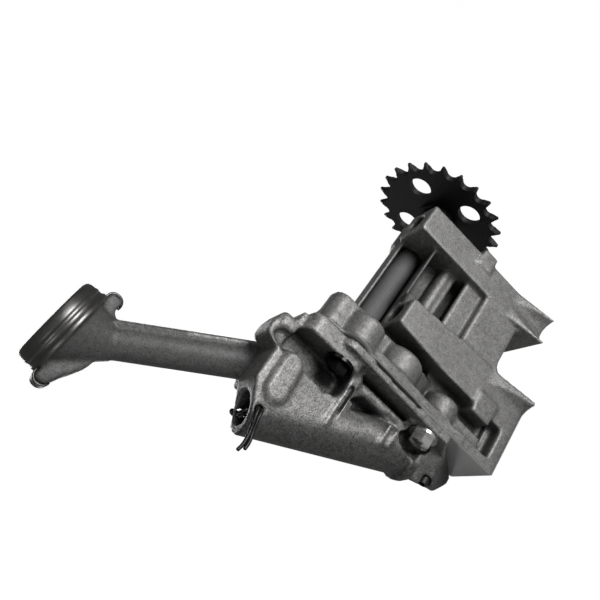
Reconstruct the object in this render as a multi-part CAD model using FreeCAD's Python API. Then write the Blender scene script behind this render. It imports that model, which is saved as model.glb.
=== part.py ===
"""Engine oil pump: an external gear pump that is bolted up to the engine block.

A chain drives the sprocket at the front. The pump body stands on two feet and
carries the shaft in an open trough. The cover closes the gear case and carries
the relief valve, the suction tube and the strainer.

Frame, in millimetres: the origin is the axis of the rear mounting bolt on the
rear foot's face. +Z points away from the engine block, +Y along the drive
shaft to the sprocket, and +X to the side that the pump shows.
"""
import FreeCAD, Part
import math
import os

V = FreeCAD.Vector

# Mounting to the block
MOUNT_BORE_R = 4.5
FRONT_BOLT_Y = 40.0
FRONT_FOOT_Z = 10.3
REAR_LEG_TOP = 68.8
FRONT_LEG_TOP = 83.7
LEG_NEAR_X = 10.0
LEG_FAR_X = -7.0
FRONT_LEG_W = 14.0
REAR_LEG_FRONT = 5.2
REAR_LEG_BACK = -7.9
REAR_FOOT_FRONT = 8.4
REAR_FOOT_BACK = -9.8
FOOT_FLARE = 4.5
FLARE_Z = 29.5
FIN_W = 1.6
FOOT_RECESS_Z = 5.9

# Web and pocket between the legs
WEB_BOTTOM = 21.5
WEB_TOP = 41.8
WEB_STEP = 0.4
PANEL_TOP = 51.5
PANEL_DEPTH = 3.5
BACK_X = -9.0
FLOOR_T = 4.0
RIB_T = 1.6

# Drive line
SHAFT_X = -12.0
SHAFT_Z = 73.0
SHAFT_R = 5.0
RUN_CLEAR = 0.04
BUSH_WALL = 1.2
REAR_BUSH_L = 9.0
SPROCKET_Y = 62.6

# Gears
TEETH = 10
MODULE = 2.3
GEAR_L = 12.4
GEAR_SIDE_CLEAR = 0.12
POCKET_CLEAR = 0.12
ADDENDUM = 2.0
DEDENDUM = 2.4
TOOTH_BACKLASH = 0.18
ROLL_SHARE = 0.36
IDLER_PIN_R = 5.0
IDLER_BUSH_WALL = 1.5
IDLER_SEAT = 10.0

# Chain sprocket
SPROCKET_TEETH = 22
CHAIN_PITCH = 8.0
ROLLER_R = 2.5
SPROCKET_T = 2.8
SPROCKET_TIP_R = 30.2
TOOTH_TIP_W = 0.9
LIGHT_HOLE_R = 5.2
LIGHT_HOLE_PCR = 17.5
LIGHT_HOLE_TURN = 19.35
SPROCKET_TURN = 2.48
HUB_R = 7.2
HUB_FLANGE_R = 8.8
HUB_FLANGE_T = 2.5

# Trough around the shaft
TROUGH_GAP = 0.9
TROUGH_WALL = 2.4
RAIL_TOP_X = -6.6
RAIL_IN_Z = 6.8
RAIL_OUT_Z = 8.3
RIB1_TOP_X = 6.0
RIB1_IN_Z = -0.8
RIB1_OUT_Z = -2.3

# Gear case and joint
JOINT_Y = -29.0
CASE_BACK_Y = -15.5
CASE_WALL = 3.2
CASE_REAR_WALL = 3.2
CASE_TOP_Z = 95.0
CASE_LEFT_X = -30.0
BODY_FLANGE_T = 4.2
COVER_FLANGE_T = 3.8
CHAMBER_R = 10.0
CHAMBER_X = 1.0
CHAMBER_Z = 55.5
OUTLET_R = 5.5
OUTLET_X = -5.5
OUTLET_Y = -20.0
OUTLET_DEPTH = 14.0
OUTLET_DRILL_R = 3.5
PRESSURE_END = (-4.0, 45.0, 3.0)
PORT_R = 5.5
PORT_NEAR_X = -1.5
PORT_FAR_X = -22.5
PORT_DEPTH = 9.0

# Cover screws, as X and Z
SCREW_NEAR_TOP = (5.8, 77.6)
SCREW_NEAR_LOW = (3.5, 31.5)
SCREW_FAR_TOP = (-28.5, 84.0)
SCREW_FAR_LOW = (-27.0, 33.5)
SCREWS = (SCREW_NEAR_TOP, SCREW_NEAR_LOW, SCREW_FAR_TOP, SCREW_FAR_LOW)
BOSS_R = 7.0
CASE_NEAR_TOP = (7.5, 77.8)
FAR_BOSS_L = 12.0
SCREW_R = 3.0
SCREW_CLEAR = 0.3
SCREW_GRIP = 10.0
HEX_AF = 8.0
HEX_H = 4.6
HEX_TURN = 24.0
HEAD_FLANGE_R = 6.0
HEAD_FLANGE_T = 1.4

# Dowels that place the cover on the body
DOWEL_R = 3.0
DOWEL_L = 12.0
DOWELS = ((-16.0, 28.5), (-12.0, 91.5))

# Cover
COVER_NEAR_X = 6.0
COVER_FAR_X = -28.0
COVER_TOP_Z = 101.0
UPPER_BLOCK_T = 8.2
STEP_X = 3.0
STEP_Z = 66.0
PAD_H = 0.9
SLOT_X = 6.5

# Cover outlines seen from the near side, as Y, Z and corner radius
LOWER_NEAR = ((JOINT_Y, 0.0), (JOINT_Y, 38.0), (-46.0, 42.0), (-52.5, 33.0), (-49.0, 23.5), (-48.0, 17.0),
              (-43.0, 11.4), (-34.8, 6.0))
LOWER_FAR = ((JOINT_Y, 0.0), (JOINT_Y, 38.0), (-46.0, 42.0), (-50.3, 33.8), (-46.0, 26.0), (-42.3, 16.0),
             (-39.7, 4.6), (-32.0, 0.0))
LOWER_NEAR_X = -0.5
LOWER_FAR_X = -15.5
LEDGE = ((-35.2, 41.0, 1.2), (-35.4, 64.5, 1.2), (-38.6, 65.5, 1.3), (-39.2, 60.5, 1.0), (-38.2, 57.0, 1.5),
         (-39.0, 52.5, 1.0), (-37.6, 49.0, 1.5), (-38.0, 41.0, 1.2))
CHANNEL = ((-32.9, 41.0, 1.0), (-32.9, 67.0, 1.0), (-35.3, 67.0, 1.0), (-35.3, 41.0, 1.0))
RECESS = ((-37.2, 98.0, 2.0), (-37.2, 70.4, 2.0), (-46.5, 70.2, 3.0), (-50.5, 76.0, 2.0), (-49.5, 90.0, 2.0),
          (-47.0, 99.0, 2.0))
DEEP_POCKET = ((-39.2, 46.5, 1.0), (-39.2, 61.0, 1.0), (-41.0, 63.5), (-45.0, 65.0), (-46.5, 62.0),
               (-44.9, 56.4), (-41.6, 46.0))
SCREW_POCKET = ((-32.9, 38.0, 1.0), (-36.4, 38.2, 2.0), (-39.6, 41.2, 1.5), (-43.2, 41.0, 1.5),
                (-45.0, 37.3, 1.5), (-44.0, 33.0, 1.5), (-40.1, 30.0, 2.0), (-36.8, 24.2, 1.5),
                (-32.9, 23.3, 1.0))
COVER_EAR = ((-36.4, 96.0), (-36.8, 106.0, 1.5), (-43.0, 107.6, 2.0), (-47.6, 107.2, 2.0), (-51.0, 96.0))
EAR_HOLLOW = ((-50.0, 97.0), (-48.0, 103.2, 1.0), (-45.6, 105.0, 1.0), (-42.6, 102.6, 1.0), (-42.0, 97.0))
EAR_HOLLOW_DEPTH = 2.5
CHANNEL_X = -1.0
RECESS_X = -3.0
DEEP_POCKET_X = -5.0
SCREW_POCKET_X = -3.7
LEDGE_X = 4.5

# Ribs beside the relief valve: near X, then Y and Z from and to
COVER_RIBS = ((7.0, -59.5, -43.4, 68.6, 69.6), (5.0, -57.0, -45.5, 63.8, STEP_Z + 0.4),
              (6.8, -51.0, -41.0, 46.2, 47.4), (6.8, -49.5, -41.0, 42.6, 43.8))
RIB_GROOVE = (3.2, -57.5, -40.0, STEP_Z + 0.4, 68.6)

# Relief valve
VALVE_X = -4.0
VALVE_Y = -72.5
VALVE_Z = 95.0
VALVE_TILT = 26.5
VALVE_R = 10.0
VALVE_BORE_R = 6.5
VALVE_LENGTH = 72.0
COLLAR_R = 11.8
COLLAR_L = 4.2
FAR_FLAT_X = -11.6
FAR_FLAT_L = 11.0
VALVE_BORE_L = 58.0
ROLL_PIN_X = -4.0
ROLL_PIN_Z = 17.2
ROLL_PIN_SEAT_Y = -42.7
ROLL_PIN_R = 2.15
ROLL_PIN_WALL = 0.8
ROLL_PIN_SLOT = 0.9
ROLL_PIN_DEPTH = 7.0
ROLL_PIN_OUT = 3.0
ROLL_PIN_SEAT_R = 2.9
PIN_FROM_END = 2.9
PIN_OFFSET = 1.0
PIN_WIRE_R = 0.75
PIN_HOLE_CLEAR = 0.15
PIN_RING_R = 2.4
SEAT_CUP_H = 7.0
SEAT_CUP_T = 1.2
PISTON_L = 20.0
SPRING_WIRE_R = 0.8
SPRING_R = 4.1
SPILL_R = 2.6
SENSE_R = 2.0
SPILL_FROM_END = 51.0
SPRING_TURNS = 8

# Suction tube and strainer
TUBE_START = (-18.0, -50.0, 96.5)
TUBE_R = 6.9
TUBE_BORE_R = 5.0
KEEL_W = 8.0
KEEL_H = 8.4
STRAINER_X = -33.5
STRAINER_Y = -85.0
STRAINER_Z = 158.0
STRAINER_R = 18.0
CUP_H = 6.6
CUP_T = 1.0
CUP_MOUTH_R = 14.0
FLANGE_T = 3.0
EAR_W = 8.8
EAR_H = 8.5
EAR_REACH = 21.3
TAB_T = 1.0
TAB_W = 6.0
RIM_BEAD = 0.7
CRIMP_BEAD = 0.35
MESH_T = 0.6
MESH_R = 14.9
SEAT_GAP = 0.02


def at(plane, u, v, w):
    """A point from its two in-plane values and the depth across the plane."""
    if plane == "XZ":
        return V(u, w, v)
    if plane == "YZ":
        return V(w, u, v)
    return V(u, v, w)


def across(plane, depth):
    """The vector of a given depth across a plane."""
    return at(plane, 0, 0, depth)


def outline(plane, points, w):
    """A face with rounded corners; each point is (u, v) or (u, v, radius)."""
    count = len(points)
    edges = []
    last = None
    first = None
    for i in range(count):
        u, v = points[i][0], points[i][1]
        r = points[i][2] if len(points[i]) > 2 else 0.0
        before = points[i - 1]
        after = points[(i + 1) % count]
        corner = V(u, v, 0)
        a = (V(before[0], before[1], 0) - corner).normalize()
        b = (V(after[0], after[1], 0) - corner).normalize()
        if r > 0:
            half = a.getAngle(b) / 2
            run = r / math.tan(half)
            middle = (a + b).normalize() * (r / math.sin(half) - r)
            p, m, q = corner + a * run, corner + middle, corner + b * run
        else:
            p, m, q = corner, None, corner
        start = at(plane, p.x, p.y, w)
        end = at(plane, q.x, q.y, w)
        if last is not None and last.distanceToPoint(start) > 1e-6:
            edges.append(Part.makeLine(last, start))
        if m is not None:
            edges.append(Part.Arc(start, at(plane, m.x, m.y, w), end).toShape())
        if first is None:
            first = start
        last = end
    if last.distanceToPoint(first) > 1e-6:
        edges.append(Part.makeLine(last, first))
    return Part.Face(Part.Wire(edges))


def prism(plane, points, w0, w1):
    """A rounded outline carried from depth w0 to depth w1."""
    return outline(plane, points, w0).extrude(across(plane, w1 - w0))


def box(x0, x1, y0, y1, z0, z1):
    return Part.makeBox(x1 - x0, y1 - y0, z1 - z0, V(x0, y0, z0))


def rod(plane, u, v, r, w0, w1):
    """A cylinder across a plane, from depth w0 to depth w1."""
    low, high = min(w0, w1), max(w0, w1)
    return Part.makeCylinder(r, high - low, at(plane, u, v, low), across(plane, 1))


def domed_rod(plane, u, v, r, w0, w1, soften):
    """A boss whose far end, at depth w1, has a rounded edge."""
    solid = rod(plane, u, v, r, w0, w1)
    rim = [e for e in solid.Edges if abs(e.CenterOfMass.distanceToPoint(at(plane, u, v, w1))) < 1e-3]
    return solid.makeFillet(soften, rim)


def strap(plane, p, rp, q, rq, w0, w1):
    """Two circles and their common tangents: an arm between two bosses."""
    dx, dy = q[0] - p[0], q[1] - p[1]
    length = math.hypot(dx, dy)
    base = math.atan2(dy, dx)
    lean = math.acos((rp - rq) / length)
    hi, lo = base + lean, base - lean

    def on(c, r, t):
        return at(plane, c[0] + r * math.cos(t), c[1] + r * math.sin(t), w0)

    back = base + math.pi
    edges = [
        Part.makeLine(on(p, rp, lo), on(q, rq, lo)),
        Part.Arc(on(q, rq, lo), on(q, rq, base), on(q, rq, hi)).toShape(),
        Part.makeLine(on(q, rq, hi), on(p, rp, hi)),
        Part.Arc(on(p, rp, hi), on(p, rp, back), on(p, rp, lo)).toShape(),
    ]
    return Part.Face(Part.Wire(edges)).extrude(across(plane, w1 - w0))


def union(shapes):
    shapes = list(shapes)
    return shapes[0].multiFuse(shapes[1:]).removeSplitter() if len(shapes) > 1 else shapes[0]


def minus(solid, tools):
    return solid.cut(list(tools))


# Derived places
PITCH_R = MODULE * TEETH / 2
GEAR_DROP = 2 * PITCH_R
IDLER_Z = SHAFT_Z - GEAR_DROP
MESH_Z = SHAFT_Z - PITCH_R
POCKET_R = PITCH_R + ADDENDUM + POCKET_CLEAR
POCKET_BACK_Y = JOINT_Y + GEAR_L + 2 * GEAR_SIDE_CLEAR
REAR_BUSH_END = POCKET_BACK_Y + REAR_BUSH_L
FRONT_LEG_BACK = FRONT_BOLT_Y - FRONT_LEG_W / 2
FRONT_LEG_FRONT = FRONT_BOLT_Y + FRONT_LEG_W / 2
BUSH_OUT_R = SHAFT_R + RUN_CLEAR + BUSH_WALL
IDLER_BUSH_OUT_R = IDLER_PIN_R + RUN_CLEAR + IDLER_BUSH_WALL
COVER_BEARING_END = JOINT_Y - 11.0
SEAT_DEPTHS = (UPPER_BLOCK_T, COVER_FLANGE_T, FAR_BOSS_L, FAR_BOSS_L)
VALVE_DIR = V(0, math.sin(math.radians(VALVE_TILT)), -math.cos(math.radians(VALVE_TILT)))
VALVE_UP = V(0, math.cos(math.radians(VALVE_TILT)), math.sin(math.radians(VALVE_TILT)))
VALVE_END = V(VALVE_X, VALVE_Y, VALVE_Z)
TUBE_END = (STRAINER_X + 0.5, STRAINER_Y + 1.0, STRAINER_Z - 2 * FLANGE_T)


def on_valve(depth):
    """The point on the relief valve's axis at a depth from its open end."""
    return VALVE_END + VALVE_DIR * depth


def pin_place():
    """The point where the split pin crosses the valve, a little off its axis."""
    return on_valve(PIN_FROM_END) - VALVE_UP * PIN_OFFSET


def legs_and_web():
    """Both bolt columns with the web between their feet, one outline seen from the side."""
    back, front = FRONT_LEG_BACK, FRONT_LEG_FRONT
    side = [
        (REAR_FOOT_BACK, 0), (REAR_FOOT_FRONT, 0, 0.8), (REAR_FOOT_FRONT, WEB_BOTTOM, 3.5),
        (back, WEB_BOTTOM, 3.5), (back, FRONT_FOOT_Z), (front, FRONT_FOOT_Z),
        (front, FRONT_LEG_TOP, 0.8), (back, FRONT_LEG_TOP, 0.8), (back, WEB_TOP),
        (REAR_LEG_FRONT + 2.0, WEB_TOP), (REAR_LEG_FRONT, REAR_LEG_TOP, 0.8),
        (REAR_LEG_BACK, REAR_LEG_TOP, 0.8), (REAR_FOOT_BACK, WEB_TOP),
    ]
    flare = LEG_NEAR_X + FOOT_FLARE
    wide = prism("YZ", side, BACK_X, flare)
    front_depth = [
        (BACK_X, FRONT_FOOT_Z), (flare, FRONT_FOOT_Z), (LEG_NEAR_X, FLARE_Z, 12.0),
        (LEG_NEAR_X, FRONT_LEG_TOP, 0.8), (LEG_FAR_X, FRONT_LEG_TOP, 0.8),
        (LEG_FAR_X, PANEL_TOP, 3.0), (BACK_X, WEB_TOP),
    ]
    rear_depth = [
        (BACK_X, 0), (flare, 0), (LEG_NEAR_X, WEB_BOTTOM, 12.0),
        (LEG_NEAR_X, FRONT_LEG_TOP), (LEG_FAR_X, FRONT_LEG_TOP),
        (LEG_FAR_X, PANEL_TOP, 3.0), (BACK_X, WEB_TOP),
    ]
    web_x = LEG_NEAR_X - WEB_STEP
    web_depth = [(BACK_X, 0), (web_x, 0), (web_x, FRONT_LEG_TOP), (BACK_X, FRONT_LEG_TOP)]
    split = REAR_FOOT_FRONT + 4.0
    zones = [
        prism("XZ", front_depth, back - 0.01, front + 1.0),
        prism("XZ", web_depth, split, back),
        prism("XZ", rear_depth, REAR_FOOT_BACK - 1.0, split),
    ]
    solid = union([wide.common(z) for z in zones])
    hollow = 6.5
    cuts = [
        rod("XY", LEG_NEAR_X + hollow, FRONT_BOLT_Y, hollow, FRONT_FOOT_Z - 1, FLARE_Z),
        rod("XY", LEG_NEAR_X + hollow, REAR_FOOT_FRONT - FIN_W - hollow, hollow, -1, WEB_BOTTOM),
        box(LEG_NEAR_X, flare + 1, REAR_FOOT_BACK - 1, REAR_FOOT_FRONT - FIN_W - hollow, -1, WEB_BOTTOM),
        box(web_x, flare + 1, REAR_FOOT_FRONT - 2 * WEB_STEP, split + 1, WEB_BOTTOM, WEB_TOP + 1),
    ]
    return minus(solid, cuts)


def pocket_floor():
    """The recessed panel, the floor and the ribs inside the pocket between the legs."""
    y0, y1 = REAR_LEG_BACK, FRONT_LEG_BACK + 1.0
    panel_x = LEG_NEAR_X - PANEL_DEPTH
    shapes = [
        box(BACK_X, BACK_X + FLOOR_T, y0, y1, WEB_TOP - 2, SHAFT_Z - 4),
        prism("XZ", [(BACK_X, WEB_TOP - 2), (panel_x, WEB_TOP - 2), (panel_x, PANEL_TOP, 1.0),
                     (panel_x - 2, PANEL_TOP, 1.0), (panel_x - 4, WEB_TOP + 6), (BACK_X, WEB_TOP + 6)],
              y0, y1),
        box(BACK_X, panel_x - 4.5, y0, y1, PANEL_TOP + 2.6, PANEL_TOP + 2.6 + RIB_T),
        domed_rod("XZ", -1.0, SHAFT_Z - 14.5, 3.1, y0, y1, 0.5),
        box(BACK_X, -1.0, y0, y1, SHAFT_Z - 16.5, SHAFT_Z - 12.5),
    ]
    return shapes


def trough():
    """The open trough that the drive shaft runs in, with a tall wall on each side."""
    r_in = SHAFT_R + TROUGH_GAP
    r_out = r_in + TROUGH_WALL
    x, z = SHAFT_X, SHAFT_Z
    high, top = RAIL_TOP_X, RIB1_TOP_X
    outer = [
        (high, z + RAIL_OUT_Z), (x, z + r_out, 2.0), (x - r_out, z + r_out - 2.4, r_out * 0.7),
        (x - r_out, z - r_out, r_out * 0.8), (x, z - r_out, 2.0), (top, z + RIB1_OUT_Z),
        (top, z + RIB1_IN_Z), (high, z + RAIL_IN_Z),
    ]
    inner = [
        (high, z + RAIL_IN_Z), (top + 1, z + RAIL_IN_Z), (top + 1, z + RIB1_IN_Z), (x, z - r_in),
        (x - r_in, z - r_in, r_in * 0.9), (x - r_in, z + r_in, r_in * 0.9), (x, z + r_in),
    ]
    body = prism("XZ", outer, CASE_BACK_Y - 1, FRONT_LEG_BACK + 1.0)
    gap = prism("XZ", inner, REAR_BUSH_END, FRONT_LEG_BACK)
    above_rear_leg = box(LEG_FAR_X + 0.5, top + 2, CASE_BACK_Y + 0.01, REAR_LEG_FRONT + 1.5, REAR_LEG_TOP,
                         SHAFT_Z + RAIL_OUT_Z)
    return body, gap, above_rear_leg


def case_outline(z_low):
    """The outline of the joint face: the gear case with its screw bosses."""
    near_top, near_low, far_top, far_low = SCREWS
    edge = near_low[0] + BOSS_R
    shapes = [
        strap("XZ", CASE_NEAR_TOP, BOSS_R - 1.5, near_low, BOSS_R, 0, 1),
        strap("XZ", far_top, BOSS_R, far_low, BOSS_R, 0, 1),
        prism("XZ", [(CASE_NEAR_TOP[0] + 2.0, CASE_TOP_Z, 5.0), (CASE_LEFT_X - 3, CASE_TOP_Z, 9.0),
                     (CASE_LEFT_X - 3, 36.0, 6.0), (-15.5, z_low + 12.0, 4.0), (-15.5, z_low),
                     (-2.0, z_low), (edge, near_low[1] - 12.0), (edge, 60.0)], 0, 1),
    ]
    return union(shapes)


def joint_plate(y0, y1, z_low):
    """The case outline as a plate between two depths."""
    plate = case_outline(z_low)
    matrix = FreeCAD.Matrix()
    matrix.scale(1, y1 - y0, 1)
    plate = plate.transformGeometry(matrix)
    plate.translate(V(0, y0, 0))
    return plate


def gear_case():
    """The gear case with its screw bosses, port chamber and the joint flange."""
    back, joint = CASE_BACK_Y, JOINT_Y
    near = LEG_NEAR_X - 0.6
    shapes = [
        prism("XZ", [(near, CASE_TOP_Z, 5.0), (-3.0, CASE_TOP_Z, 5.0), (-3.0, SHAFT_Z, 2.0),
                     (near, SHAFT_Z - 2, 4.0)], joint, back),
        prism("XZ", [(0.5, SHAFT_Z), (CASE_LEFT_X + 2, SHAFT_Z), (CASE_LEFT_X + 2, 28.0, 9.0),
                     (-3.0, 26.0, 4.0)],
              joint, back),
        domed_rod("XZ", CHAMBER_X, CHAMBER_Z, CHAMBER_R, joint, back + 2.0, 3.0),
        domed_rod("XZ", CASE_NEAR_TOP[0], CASE_NEAR_TOP[1], BOSS_R + 1.0, joint, back - 2.0, 2.0),
        domed_rod("XZ", SCREW_NEAR_LOW[0], SCREW_NEAR_LOW[1], BOSS_R, joint, back - 0.5, 2.0),
        domed_rod("XZ", SCREW_FAR_TOP[0], SCREW_FAR_TOP[1], BOSS_R, joint, back + 0.5, 1.5),
        domed_rod("XZ", SCREW_FAR_LOW[0], SCREW_FAR_LOW[1], BOSS_R, joint, back + 0.5, 1.5),
        joint_plate(joint, joint + BODY_FLANGE_T, 0.0),
        strap("XZ", (SHAFT_X, SHAFT_Z), POCKET_R + CASE_WALL, (SHAFT_X, IDLER_Z), POCKET_R + CASE_WALL - 0.01,
              joint, POCKET_BACK_Y + CASE_REAR_WALL),
    ]
    return shapes


def rear_core():
    """The bearing block between the gear case and the rear bolt column."""
    r = BUSH_OUT_R + 3.5
    return [
        prism("XZ", [(SHAFT_X - r, SHAFT_Z - 2, 2), (SHAFT_X - r, 36.0, 8.0), (LEG_FAR_X + 3, 30.0),
                     (LEG_FAR_X + 5, REAR_LEG_TOP - 1), (SHAFT_X, REAR_LEG_TOP)],
              CASE_BACK_Y - 1, REAR_LEG_FRONT),
        rod("XZ", SHAFT_X, SHAFT_Z, r, CASE_BACK_Y - 1, REAR_BUSH_END),
    ]


def foot_block():
    """The rear foot's block, which carries the outlet port to the engine block."""
    back = REAR_FOOT_BACK + 2
    port_top = WEB_BOTTOM + 2.5
    side = [(JOINT_Y, 0), (back, 0), (back, WEB_TOP + 2), (CASE_BACK_Y, WEB_TOP - 2), (JOINT_Y, WEB_TOP - 8)]
    block = prism("YZ", side, CASE_BACK_Y, LEG_NEAR_X)
    y0, y1 = JOINT_Y + BODY_FLANGE_T, REAR_FOOT_BACK - 0.4
    trench_y = y0 + 5.8
    wall = OUTLET_X + OUTLET_R + 1.5
    low = FOOT_RECESS_Z
    cuts = [
        prism("YZ", [(y0 + 0.3, low, 1.0), (y1, low, 1.0), (y1, WEB_TOP, 1.0), (y0 + 0.3, WEB_TOP)],
              wall + 2.5, LEG_NEAR_X + 1),
        prism("YZ", [(trench_y, low + 3, 1.0), (y1, low + 3, 1.0), (y1, WEB_TOP, 1.0), (trench_y, WEB_TOP)],
              wall, LEG_NEAR_X + 1),
        prism("XZ", [(wall - 0.5, port_top), (20, port_top), (20, 60), (wall - 0.5, 60)], y0, REAR_FOOT_BACK),
    ]
    bar = box(wall - 1, LEG_NEAR_X - 2.5, y0 + 1.3, trench_y, low + 5, port_top + 2)
    return union([minus(block, cuts), bar])


def pump_body():
    """The die-cast body: feet, bolt columns, shaft trough and gear case."""
    trough_body, trough_gap, over_leg = trough()
    shapes = [legs_and_web(), trough_body, foot_block()]
    shapes += pocket_floor()
    shapes += gear_case()
    shapes += rear_core()
    boss_r = BUSH_OUT_R + 3.2
    shapes.append(rod("XZ", SHAFT_X, SHAFT_Z, boss_r, FRONT_LEG_BACK, FRONT_LEG_FRONT))
    shapes.append(box(SHAFT_X - boss_r + 2, LEG_FAR_X + 1, FRONT_LEG_BACK, FRONT_LEG_FRONT, 36.0, SHAFT_Z))
    for y0, y1, z0, z1 in ((41.6, 50.1, 46.5, 54.0), (-13.8, -4.2, 12.7, 22.9)):
        shapes.append(box(LEG_FAR_X, LEG_NEAR_X + PAD_H, y0, y1, z0, z1))
    solid = union(shapes)
    gear_y0, gear_y1 = JOINT_Y - 1, POCKET_BACK_Y
    tap_r = SCREW_R
    cuts = [
        trough_gap, over_leg,
        rod("XY", 0, 0, MOUNT_BORE_R, -1, REAR_LEG_TOP + 1),
        rod("XY", 0, FRONT_BOLT_Y, MOUNT_BORE_R, FRONT_FOOT_Z - 1, FRONT_LEG_TOP + 1),
        rod("XZ", SHAFT_X, SHAFT_Z, POCKET_R, gear_y0, gear_y1),
        rod("XZ", SHAFT_X, IDLER_Z, POCKET_R, gear_y0, gear_y1),
        rod("XZ", SHAFT_X, SHAFT_Z, BUSH_OUT_R, gear_y0, REAR_BUSH_END + 1),
        rod("XZ", SHAFT_X, SHAFT_Z, BUSH_OUT_R, FRONT_LEG_BACK - 1, FRONT_LEG_FRONT + 1),
        rod("XZ", SHAFT_X, IDLER_Z, IDLER_PIN_R, gear_y0, POCKET_BACK_Y + IDLER_SEAT),
        rod("XY", OUTLET_X, OUTLET_Y, OUTLET_R, -1, OUTLET_DEPTH),
        rod("XY", OUTLET_X, OUTLET_Y, OUTLET_DRILL_R, 0, PRESSURE_END[1]),
        strap("XZ", (PORT_NEAR_X, MESH_Z), PORT_R, PRESSURE_END[:2], PRESSURE_END[2],
              gear_y0, JOINT_Y + PORT_DEPTH),
        rod("XZ", PORT_NEAR_X, MESH_Z, PORT_R, gear_y0, JOINT_Y + PORT_DEPTH),
        rod("XZ", PORT_FAR_X, MESH_Z, PORT_R, gear_y0, JOINT_Y + PORT_DEPTH),
    ]
    for x, z in SCREWS:
        cuts.append(rod("XZ", x, z, tap_r, JOINT_Y - 1, JOINT_Y + SCREW_GRIP + 1))
    for x, z in DOWELS:
        cuts.append(rod("XZ", x, z, DOWEL_R, JOINT_Y - 1, JOINT_Y + DOWEL_L / 2))
    return minus(solid, cuts)


def tube_frame():
    """Start, direction, length and the keel's direction of the suction tube."""
    start, end = V(*TUBE_START), V(*TUBE_END)
    along = end - start
    length = along.Length
    along.normalize()
    up = V(0.281, 0.793, 0.541)
    up = up - along * up.dot(along)
    up.normalize()
    return start, along, length, up


def suction_tube():
    """The cast suction tube with the flat keel along its upper side."""
    start, along, length, up = tube_frame()
    side = along.cross(up)
    body = Part.makeCone(TUBE_R + 0.3, TUBE_R - 0.2, length, start, along)
    half = KEEL_W / 2
    crest = half - 0.4
    corners = [side * -half, side * half, side * crest + up * KEEL_H, side * -crest + up * KEEL_H]
    wire = Part.makePolygon([start + c for c in corners] + [start + corners[0]])
    keel = Part.Face(wire).extrude(along * length)
    return [body, keel]


def strainer_flange():
    """The disc that the strainer is crimped to, with an ear at each end and a neck."""
    x, y, z = STRAINER_X, STRAINER_Y, STRAINER_Z
    disc_r = STRAINER_R - CUP_T
    start, along, length, up = tube_frame()
    neck_low = start + along * (length - 12)
    circle_low = Part.Wire(Part.Circle(neck_low, along, TUBE_R).toShape())
    circle_high = Part.Wire(Part.Circle(V(x, y, z - FLANGE_T), V(0, 0, 1), disc_r - 2.5).toShape())
    neck = Part.makeLoft([circle_low, circle_high], True)
    shapes = [
        rod("XY", x, y, disc_r, z - FLANGE_T, z),
        neck,
    ]
    half = EAR_W / 2
    for side in (-1, 1):
        end = y + side * EAR_REACH
        soft = half - TAB_W / 2
        ear = [(x - half, y), (x - half, end, soft), (x + half, end, soft), (x + half, y)]
        shapes.append(prism("XY", ear, z - EAR_H, z - FLANGE_T))
    far = y - EAR_REACH + 0.3
    web = [(far, z - EAR_H + 0.3), (far, z - FLANGE_T), (y + 15.0, z - FLANGE_T),
           (y + 16.0, z - EAR_H), (y + 9.0, z - 18.0), (y + 3.0, z - 20.5), (y - 1.7, z - 15.7, 1.5),
           (y - 6.4, z - 15.0, 1.5), (y - 11.5, z - 12.5, 1.5), (y - 14.6, z - 10.7, 1.5)]
    shapes.append(prism("YZ", web, x - half, x + half))
    return shapes


def cover_blocks():
    """The solid forms of the cover before its pockets are cut."""
    joint = JOINT_Y
    flange_back = joint - COVER_FLANGE_T
    near, far = COVER_NEAR_X, COVER_FAR_X
    top, low = on_valve(0), on_valve(VALVE_LENGTH - 8.0)
    side = [
        (flange_back + 1, 36.0), (flange_back + 1, COVER_TOP_Z - 1), (-45.0, COVER_TOP_Z, 4.0),
        (top.y + VALVE_UP.y * VALVE_R, top.z + VALVE_UP.z * VALVE_R + 0.6), (top.y, top.z), (low.y, low.z),
    ]
    shapes = [
        joint_plate(flange_back, joint, 0.0),
        prism("YZ", side, far + 12.0, near),
        prism("YZ", [(flange_back + 1, 44.0), (flange_back + 1, 97.0, 3.0), (-60.0, 97.0, 3.0),
                     (-66.0, 88.0, 3.0), (-50.0, 52.0, 3.0)], far, far + 13.0),
        Part.makeLoft([outline("YZ", LOWER_FAR, LOWER_FAR_X).OuterWire,
                       outline("YZ", LOWER_NEAR, LOWER_NEAR_X).OuterWire], True, True),
        prism("XZ", [(LEG_NEAR_X, 70.0, 3.0), (LEG_NEAR_X, 97.5, 5.0), (-20.0, 97.5, 5.0),
                     (-20.0, 70.0, 3.0)],
              joint - UPPER_BLOCK_T, joint),
        prism("YZ", COVER_EAR, -8.0, near - 0.6),
        box(-6.0, near + PAD_H - 0.6, -42.0, -38.0, 98.0, 104.5),
    ]
    for x, z in SCREWS[2:]:
        shapes.append(rod("XZ", x, z, BOSS_R, joint, joint - FAR_BOSS_L))
    shapes += suction_tube()
    shapes += strainer_flange()
    return shapes


def cover_pockets():
    """The cast hollows on the cover's near side."""
    near = COVER_NEAR_X
    out = near + 6.0
    groove_x, groove_y0, groove_y1, groove_z0, groove_z1 = RIB_GROOVE
    return [
        prism("YZ", [(JOINT_Y - 5, STEP_Z), (-90.0, STEP_Z), (-90.0, 0.0), (JOINT_Y - 5, 0.0)], STEP_X, out),
        prism("YZ", RECESS, RECESS_X, out),
        prism("YZ", DEEP_POCKET, DEEP_POCKET_X, out),
        prism("YZ", EAR_HOLLOW, near - 0.6 - EAR_HOLLOW_DEPTH, out),
        box(groove_x, out, groove_y0, groove_y1, groove_z0, groove_z1),
        box(SLOT_X, LEG_NEAR_X + BOSS_R, JOINT_Y - 1.4, JOINT_Y + 1, WEB_TOP, JOINT_Y + 97.0),
    ]


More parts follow.
